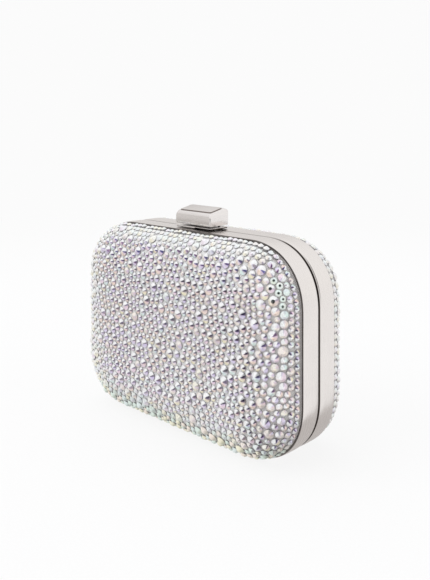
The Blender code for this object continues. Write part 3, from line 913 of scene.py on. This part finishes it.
table_rest = range(table_start + 1, table_start + facets - 1)
cut_faces += [(table_start, corner, corner + 1) for corner in table_rest]
cut_faces += [(0, step + 1, step) for step in range(1, wall_steps - 1)]
cut_faces = np.array(cut_faces)
in_each_tier = (2 * wall_steps, 3 * facets, facets - 2, wall_steps - 2)
cut_tiers = np.repeat([0, 1, 2, 0], in_each_tier)
print("one crystal has", len(cut_faces), "faces: wall, facets, table and underside")

# %% Set crystals at their places
# The way towards the dark camera side, whose reflection is painted into the stones as the wedge.
dark_side_way = np.array([0.71, -0.65, 0.28])
sunk, wall_base, wall_growth, crown_share = 0.25 * mm, 0.30 * mm, 0.05, 0.24


def lengths(vectors):
    return np.linalg.norm(vectors, axis=1, keepdims=True)


def set_stones(name, places, diameters, side, most_lift=0.0):
    """One mesh of crystals at the given places, on the front (side -1) or the back half."""
    count = len(places)
    flip = np.array([-side, side, 1])
    centres, outward = places * flip, dome_normals(places) * flip
    up = np.array([0, 0, 1.0]) - outward * outward[:, 2:3]
    up = np.where(lengths(up) < 0.05, np.array([0, -side, 0.0]), up)
    up /= lengths(up)
    right = np.cross(up, outward)
    spin = luck.uniform(0, math.tau, count)
    first = right * np.cos(spin)[:, None] + up * np.sin(spin)[:, None]
    second = np.cross(outward, first)
    radius = diameters / 2 * luck.uniform(0.98, 1.02, count)
    lift = luck.uniform(0, 1, count) * most_lift * (outward[:, 2] > 0.8)
    wall = wall_base + wall_growth * diameters + lift
    crown = crown_share * diameters * luck.uniform(0.92, 1.08, count)
    heights = np.stack([np.full(count, -sunk), wall, wall + crown], 1)[:, cut_level]
    flat = cut_flat[None, :, :1] * first[:, None] + cut_flat[None, :, 1:] * second[:, None]
    points = centres[:, None] + radius[:, None, None] * flat
    points = points + heights[:, :, None] * outward[:, None]
    faces = cut_faces[None] + (np.arange(count) * len(cut_flat))[:, None, None]
    data = bpy.data.meshes.new(name)
    data.from_pydata(points.reshape(-1, 3).tolist(), [], faces.reshape(-1, 3).tolist())

    way = dark_side_way / np.linalg.norm(dark_side_way) * np.array([-side, -side, 1])
    toward = outward @ way
    along = way - outward * toward[:, None]
    along /= np.maximum(lengths(along), 1e-6)
    above = np.cross(outward, along)
    offset = points - centres[:, None]
    spot = [(offset * axis[:, None]).sum(2) / radius[:, None] for axis in (along, above)]
    on_stone = np.stack([*spot, np.broadcast_to(cut_level / 2, spot[0].shape)], 2)
    attribute = data.attributes.new("on_stone", "FLOAT_VECTOR", "POINT")
    attribute.data.foreach_set("vector", on_stone.astype(np.float32).ravel())
    per_stone = len(cut_faces)
    numbers = {
        "stone_luck": np.repeat(luck.random(count), per_stone),
        "tint_luck": np.repeat(luck.random(count), per_stone),
        "facet_luck": luck.random(count * per_stone),
        "tier": np.tile(cut_tiers, count) / 2,
        "lean": np.repeat(np.degrees(np.arccos(np.clip(toward, -1, 1))), per_stone),
        "height": np.repeat(centres[:, 2] / mm, per_stone),
    }
    for label, values in numbers.items():
        attribute = data.attributes.new(label, "FLOAT", "FACE")
        attribute.data.foreach_set("value", values.astype(np.float32))
    return bring_in(name, data)


stones = {}
border_sizes, border_lift = np.full(border_count, border_size), 0.8 * mm
for half, side in sides.items():
    field = set_stones(f"{half}_crystals", places, diameters, side)
    border = set_stones(f"{half}_border_crystals", border_places, border_sizes, side, border_lift)
    stones[f"{half}_field"], stones[f"{half}_border"] = field, border
    for part in ("field", "border"):
        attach(stones[f"{half}_{part}"], f"{half}_half")
print("crystal faces:", {name: len(thing.data.polygons) for name, thing in stones.items()})

# %% [markdown]
# ## The colours in the crystals
#
# The stones are clear glass with a metal film that turns light into pale rainbow tints. Real
# refraction in thousands of tiny stones would be slow and noisy, and at this size the eye sees
# only facets of white, blush, lemon, mint and lilac, with one deep violet wedge in most stones. So
# each facet is a half-mirror whose colour follows the numbers stored on it. Much of that colour
# is painted light: a painted highlight on each stone's top, painted shade on its rim, its lower
# side and its wall, and painted reflections of the room, the floor and the dark camera side.

# %% Read the numbers stored on the crystals
def stored(tree, name, output="Fac"):
    return out(place(tree, "Attribute", attribute_name=name), output)


def choose(value, colours):
    """Picks one of several colours by a value from 0 to 1."""
    node = place(value.tree, "ValToRGB", {0: value})
    node.color_ramp.interpolation = "CONSTANT"
    stops = node.color_ramp.elements
    stops.remove(stops[-1])
    for index, (position, colour) in enumerate(colours):
        stop = stops[0] if index == 0 else stops.new(position)
        stop.position, stop.color = position, (*colour, 1)
    return out(node)


rainbow, tree, surface = new_finish("rainbow_crystal")
numbers = ("stone_luck", "tint_luck", "facet_luck", "tier", "lean", "height")
stone, tint, facet, tier, lean, height = (stored(tree, name) for name in numbers)
along, above, _ = axes_of(stored(tree, "on_stone", "Vector"))
is_table, is_wall, is_plain = tier > 0.8, tier < 0.2, tint > 0.88
from_middle = (along**2 + above**2).math("SQRT")
turn = above.math("ARCTAN2", along) + (facet - 0.5) * 0.16
print("numbers on each facet:", *numbers)

# %% [markdown]
# First the pale tints, laid one over the other: the stone's own tint low down, a painted
# highlight of white on its upper part, painted shade of warm grey on the lower right of plain
# stones, another tint on its left, painted shade of grey towards its rim and a painted dark
# reflection on a few facets. The stones near the top and the far side get a paler painted
# reflection, those near the foot a mossier painted reflection of the floor with painted shade
# low on each stone, and those that look straight to the front right a painted reflection the
# colour of ice.

# %% Lay the pale tints
low_tint = choose(tint, [
    (0.0, (0.80, 0.74, 0.92)), (0.2, (0.96, 0.78, 0.67)), (0.44, (0.94, 0.88, 0.62)),
    (0.56, (0.76, 0.91, 0.86)), (0.66, (0.92, 0.75, 0.84)), (0.78, (0.95, 0.88, 0.80)),
    (0.88, (0.96, 0.85, 0.74)), (0.94, (0.84, 0.93, 0.89)), (0.97, (0.95, 0.90, 0.70)),
])
side_tint = choose(stone, [
    (0.0, (0.97, 0.81, 0.75)), (0.35, (0.97, 0.87, 0.70)),
    (0.7, (0.88, 0.85, 0.96)), (0.84, (0.84, 0.94, 0.89)),
])
pale_reflection = choose(tint, [
    (0.0, (0.90, 0.97, 0.93)), (0.4, (0.98, 0.97, 0.87)),
    (0.6, (0.93, 0.92, 0.98)), (0.8, (0.97, 0.97, 0.97)),
])
floor_reflection = choose(tint, [
    (0.0, (0.66, 0.82, 0.70)), (0.35, (0.93, 0.87, 0.58)),
    (0.6, (0.70, 0.85, 0.80)), (0.8, (0.95, 0.78, 0.62)),
])
ice_reflection = choose(tint, [
    (0.0, (0.80, 0.96, 0.90)), (0.6, (0.89, 0.96, 0.91)), (0.88, (0.96, 0.91, 0.84)),
])
highlight_white, plain_shade_grey = (0.97, 0.975, 0.98), (0.55, 0.52, 0.52)
rim_shade_grey, dark_reflection_grey, foot_shade_green = (0.62, 0.60, 0.63), (0.64, 0.62, 0.67), (0.30, 0.33, 0.28)
near_top, far_side = remap(height, 97, 103) * 0.6, remap(lean, 50, 64) * 0.5
near_foot, low_on_stone = remap(height, 17, 8), remap(above, 0.2, -0.6)
# Painted light: a white highlight, greys of shade and dark reflection, and tints of reflected room
# and floor.
pale_stones = wash(
    low_tint,
    (remap(above, -0.35, 0.2) * (is_plain * -0.6 + 1.0), highlight_white),
    (remap(along - above, 0.1, 1.3, 0.0, 0.6) * is_plain, plain_shade_grey),
    (remap(along, -0.15, -0.8) * 0.85, side_tint),
    (remap(from_middle, 0.78, 1.0, 0.0, 0.22), rim_shade_grey),
    (remap(facet, 0.2, 1.0) * (is_plain * 0.2 + 0.25), dark_reflection_grey),
    (near_top.math("MAXIMUM", far_side), pale_reflection),
    (near_foot * 0.6, floor_reflection),
    (near_foot * low_on_stone * 0.6, foot_shade_green),
    (remap(lean, 19, 10) * 0.7, ice_reflection),
)
print("so far the crystal finish has", len(tree.nodes), "nodes")

# %% [markdown]
# Then the deep wedge, a painted reflection of the dark camera side, tinted violet by the coating.
# It starts sharp a little above the line towards the front right and fades out below it, from the
# middle of the stone to its rim, with a violet or rosy halo on its soft side. Stones that face
# that way, stones that face away from it and the top rows have none.

# %% Cut the violet wedges into them
deep = choose(facet, [
    (0.0, (0.06, 0.035, 0.12)), (0.35, (0.03, 0.022, 0.06)),
    (0.6, (0.08, 0.03, 0.08)), (0.78, (0.045, 0.035, 0.045)),
])
bright = choose(stone, [
    (0.0, (0.25, 0.15, 0.42)), (0.4, (0.15, 0.14, 0.36)), (0.78, (0.27, 0.14, 0.31)),
])
halo = choose(facet, [
    (0.0, (0.60, 0.45, 0.80)), (0.4, (0.80, 0.55, 0.68)),
    (0.7, (0.50, 0.50, 0.82)), (0.85, (0.88, 0.66, 0.55)),
])
vivid = remap(lean, 46, 34) * 0.35 + remap(height, 86, 94, 0.0, 0.8)
vivid = vivid + remap(facet, 0.5, 1.0, 0.0, 0.2)
soft_low = remap(stone, 0, 1, -0.36, -0.85) + remap(lean, 46, 30, 0.0, 0.15)
sharp_top, low_edge = remap(turn, 0.13, 0.2, 1, 0), remap(turn, soft_low, soft_low + 0.34)
in_range = remap(lean, 66, 44) * remap(lean, 10, 25) * remap(height, 103, 98)
has_wedge = in_range * (tint < remap(lean, 46, 32, 0.89, 0.76))
reach = remap(from_middle, 0.0, 0.16) * remap(from_middle, 0.82, 1.0, 1.0, 0.55)
# Painted reflection: the wedge and its halo lay the dark camera side's reflection into the colour.
wedge = sharp_top * low_edge * reach * has_wedge
around = sharp_top * remap(turn, soft_low - 0.75, soft_low) * in_range * 0.5
wedged_stones = wash(pale_stones, (around, halo), (wedge, blend(vivid, deep, bright)))
print("with the wedges it has", len(tree.nodes), "nodes")

# %% Finish the crystals
# Painted light and shade on the stones' walls: pale on the lit side, dark grey on the shaded side.
shaded_side = remap(along - above * 0.6, -0.5, 0.5)
wall_light_and_shade = blend(shaded_side, (0.78, 0.78, 0.80), (0.30, 0.29, 0.295))
smudges, _ = handled(tree, 400.0, 2500.0)
fill(surface, {
    "Base Color": blend(is_wall * 0.85, wedged_stones, wall_light_and_shade),
    "Metallic": is_table * remap(lean, 32, 22) * 0.55 + 0.45,
    "Roughness": remap(facet, 0, 1, 0.06, 0.16),
    "Coat Weight": 0.15,
    "Coat Roughness": 0.05,
    "Normal": bump(smudges, 0.05, 0.02 * mm),
})
dress(stones.values(), rainbow)
print("the whole crystal finish has", len(tree.nodes), "nodes")

# %% [markdown]
# ## Satin and shell
#
# Inside, the case is lined with grey satin over a moulded shell. Satin shines in soft streaks
# along its threads, so its roughness and its height follow a noise that is stretched one way.
# The same streaks are laid into its colour as a painted sheen, and its folds get a painted
# highlight of paler grey.

# %% Finish the satin and the shell
satin, tree, surface = new_finish("grey_satin")
threads = noise(stretched(tree, (60, 60, 2600)), 1.0, 2)
folds = noise(stretched(tree, (1, 1, 0.35)), 55, 3)
# Painted sheen: paler streaks along the threads, and a painted highlight on the folds.
sheen_streaks = (remap(threads, 0.3, 0.7), (0.48, 0.47, 0.50))
lit_folds = (remap(folds, 0.35, 0.7, 0, 0.6), (0.60, 0.59, 0.62))
fill(surface, {
    "Base Color": wash((0.43, 0.42, 0.45), sheen_streaks, lit_folds),
    "Roughness": remap(folds, 0.3, 0.7, 0.38, 0.55),
    "Sheen Weight": 0.35,
    "Normal": bump(threads * 0.08 + folds, 0.55, 1.2 * mm),
})
dress(satins.values(), satin)

board, tree, surface = new_finish("moulded_shell")
speckle = noise(stretched(tree), 1400, 3)
fill(surface, {
    "Base Color": blend(speckle, (0.10, 0.10, 0.11), (0.20, 0.20, 0.21)),
    "Roughness": remap(speckle, 0.3, 0.7, 0.5, 0.7),
    "Normal": bump(speckle, 0.3, 0.05 * mm),
})
print("satin and shell ready")

# %% [markdown]
# ## The clasp
#
# The clasp is a small casting with bevelled top edges. Its top leans up towards the back, and a
# bare plate is let into it with a dark line round it. It is built as rounded rectangles stacked
# from the bottom up, with more steps round its corners than the solid has.

# %% Stack the clasp block
clasp_half, clasp_front, clasp_back = 13.7 * mm, -9.5 * mm, 5.4 * mm
clasp_low, clasp_shoulder, clasp_top = 110.4 * mm, 115.1 * mm, 117.1 * mm
bevel_in, bevel_back, front_bevel = 1.0 * mm, 2.8 * mm, 0.4 * mm
block_wall, bulge, soft = 1.4 * mm, 0.1 * mm, 0.25 * mm
clasp_slope = math.tan(math.radians(11.5))


def plan_loop(inset, back_inset, height, slope_share, front_more=0.0, round_steps=9):
    """A rounded rectangle in the block's plan, leaning up towards the back."""
    half = clasp_half - inset
    radius = 1.0 * mm * half / clasp_half
    low_y, high_y = clasp_front + inset + front_more, clasp_back - back_inset
    points = []
    for quarter in range(4):
        corner_x = (half - radius) * (1 if quarter in (0, 3) else -1)
        corner_y = high_y - radius if quarter in (0, 1) else low_y + radius
        for step in range(round_steps + 1):
            turn = (quarter + step / round_steps) * math.pi / 2
            x, y = corner_x + radius * math.cos(turn), corner_y + radius * math.sin(turn)
            points.append((x, y, height + slope_share * clasp_slope * (y - clasp_front)))
    return points


def clasp_sections():
    """The block's outside from its bottom to its top, down into the panel's pocket."""
    sections = [(inset, inset, height, slope_share) for inset, height, slope_share in (
        (block_wall, clasp_low + 2.5 * mm, 0),
        (block_wall, clasp_low + 0.1 * mm, 0),
        (block_wall - 0.1 * mm, clasp_low, 0),
        (bulge + soft, clasp_low, 0),
        (bulge + soft * 0.3, clasp_low + soft * 0.3, 0),
        (bulge, clasp_low + soft, 0.05),
        (0, (clasp_low + clasp_shoulder) / 2, 0.5),
        (bulge * 0.4, clasp_shoulder - 0.6 * mm, 0.9),
        (bulge, clasp_shoulder - 0.15 * mm, 1),
        (bulge * 1.7, clasp_shoulder + 0.05 * mm, 1),
    )]
    for share in (0.12, 0.3, 0.55, 0.8, 0.93):
        inward, height = share**1.7, clasp_shoulder + (clasp_top - clasp_shoulder) * share
        around, behind = bulge + 0.9 * mm * inward, bulge + 2.7 * mm * inward
        sections.append((around, behind, height, 1, front_bevel * inward))
    for inward, rise in ((0.05, -0.05), (0.15, 0), (0.6, 0), (0.7, -0.1), (0.7, -0.7)):
        around, behind = bevel_in + inward * mm, bevel_back + inward * mm
        sections.append((around, behind, clasp_top + rise * mm, 1, front_bevel))
    return sections


def stack(name, sections):
    return skin(name, [plan_loop(*section) for section in sections], smooth_angle=35)


clasp_block = stack("clasp_casting", clasp_sections())
panel_gap, panel_rise = 0.85 * mm, 0.55 * mm
clasp_panel = stack("clasp_panel", [
    (
        bevel_in + panel_gap + inward * mm, bevel_back + panel_gap + inward * mm,
        clasp_top + panel_rise - below * mm, 1, front_bevel,
    )
    for inward, below in ((0, 0.9), (0, 0.15), (0.04, 0.04), (0.15, 0))
])
loop_points = len(plan_loop(0, 0, 0, 0))
print("each loop of the clasp has", loop_points, "points")

# %% [markdown]
# The rows of faces inside the block's hollow and its pocket, and round the panel, get a rough
# nickel darkened as painted shade: they draw the dark line round the panel. The base plate is
# bright along its edge and has painted shade below it, more so at the right, where it is notched.

# %% Finish the clasp
# Painted shade: a dark, rough nickel for the pocket, the hollow and the line round the panel.
painted_shade_nickel = nickel_finish("painted_shade_nickel", (0.30, 0.26, 0.245), 0.5, (60, 60, 900), 0.1)


def shade_rows(thing, rows):
    """Gives some rows of a stack's faces the painted-shade nickel; its two end faces are the last
    row.
    """
    thing.data.materials.append(painted_shade_nickel)
    for face in thing.data.polygons:
        face.material_index = int(face.index // loop_points in rows)


def plate_painted_shade(tree):
    """Where the base plate gets painted shade: below a level that steps up at its notch."""
    x, _, z = millimetres(tree)
    level = remap(x, 1.2, 1.6) * 0.4 + 108.68
    return remap(z, level, level + 0.1, 1, 0)


# The base plate's nickel takes painted shade below its edge.
plate_nickel = nickel_finish("plate_nickel", nickel, 0.25, brushed_up, 0.2, plate_painted_shade)
for thing, node, metal in (
    (clasp_block, "clasp_block", clasp_nickel),
    (clasp_panel, "clasp_top_plate", panel_nickel),
):
    dress([thing], metal)
    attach(thing, "clasp")
    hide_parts(node)
shade_rows(clasp_block, (0, 1, 18, 19))
shade_rows(clasp_panel, (0, 1))
print("the clasp is dressed in", clasp_nickel.name, "and", panel_nickel.name)

# %% [markdown]
# ## The fittings
#
# The hinges, rivets, latch and posts keep their measured shapes. They get a fine bevel, because a
# sharp computer edge catches no light, and plain or blued steel with the shared marks.

# %% Finish the steel parts
def steel_finish(name, light_colour, dark_colour, roughness):
    finish, tree, surface = new_finish(name)
    smudges, scratches = handled(tree, 180.0, 2600.0)
    smudged = blend(smudges, light_colour, dark_colour)
    fill(surface, {
        "Base Color": blend(scratches * 0.5, smudged, dimmed(light_colour, 1.3)),
        "Metallic": 1.0,
        "Roughness": remap(smudges, 0, 1, roughness, roughness + 0.12),
        "Normal": bump(scratches, 0.15, 0.03 * mm),
    })
    return finish


plain_steel = steel_finish("plain_steel", (0.60, 0.60, 0.61), (0.48, 0.48, 0.50), 0.28)
blued_steel = steel_finish("blued_steel", (0.40, 0.42, 0.48), (0.30, 0.31, 0.36), 0.25)
slots = {entry["node"]: entry["material_slot"] for entry in frame["record"]["subparts"]}
wanted = {"steel": plain_steel, "spring_steel": blued_steel, "shell_board": board}
dressed = [node for node in frame["nodes"] if slots.get(node) in wanted]
for node in dressed:
    thing = frame["nodes"][node]
    dress([thing], plate_nickel if node == "clasp_base_plate" else wanted[slots[node]])
    if slots[node] != "shell_board":
        soften = thing.modifiers.new("soft_edges", "BEVEL")
        soften.width, soften.segments = 0.07 * mm, 2
        soften.limit_method, soften.angle_limit = "ANGLE", math.radians(50)
print(len(dressed), "measured parts dressed")

# %% [markdown]
# The clasp's two posts push the latch's leaf spring down, out of the striker. The spring is held
# at one end by its spacer, so a copy of it is cut into more pieces along its free length, where
# the real spring bends.

# %% Cut the leaf spring along its free length
held_end, pushed_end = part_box("latch_spacer")[1][0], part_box("clasp_left_post")[0][0]
strip = bmesh.new()
strip.from_mesh(frame["nodes"]["latch_spring"].data)
for cut_x in np.linspace(held_end, pushed_end, 13):
    whole = [*strip.verts, *strip.edges, *strip.faces]
    bmesh.ops.bisect_plane(strip, geom=whole, plane_co=(cut_x, 0, 0), plane_no=(1, 0, 0))
leaf_spring = bring_in("leaf_spring", mesh_of("leaf_spring", strip))
dress([leaf_spring], blued_steel)
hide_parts("latch_spring")
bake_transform(leaf_spring)
print("leaf spring bends over", round((pushed_end - held_end) / mm, 1), "mm")

# %% [markdown]
# Open, the case lies on its front half, whose dome swings below the level that the closed case
# stands on. So the floor follows a point that swings with the front half: at rest it is at the
# closed case's foot, and fully open at the lowest stone of the dome.

# %% Let the floor follow the front half
joints = {joint["name"]: joint for joint in frame["record"]["behaviour"]["joints"]}
swing = math.radians(joints["frame_open"]["range_deg"][1])
axis_z = joints["frame_open"]["pos_m"][2]
lowest = 0.0
for thing in (bands["front"], stones["front_field"], stones["front_border"]):
    corners = np.zeros((len(thing.data.vertices), 3))
    thing.data.vertices.foreach_get("co", corners.ravel())
    swung = corners[:, 1] * math.sin(swing) + (corners[:, 2] - axis_z) * math.cos(swing) + axis_z
    lowest = min(lowest, swung.min())
drop = lowest - floor_gap
reach = (axis_z - (floor_gap + axis_z) * math.cos(swing) - drop) / math.sin(swing)
foot_point = bring_in("foot_point", None)
foot_point.location = (0, -reach, -floor_gap)
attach(foot_point, "front_half")
follow = floor.constraints.new("COPY_LOCATION")
follow.target = foot_point
follow.use_x = follow.use_y = False
print("open, the floor drops", round(-lowest / mm, 1), "mm")

# %% Measure the sizes and finish
shown_low, shown_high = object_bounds()
reach = [round((high - low) / mm, 1) for low, high in zip(shown_low, shown_high)]
print("dressed bag", reach, "mm")
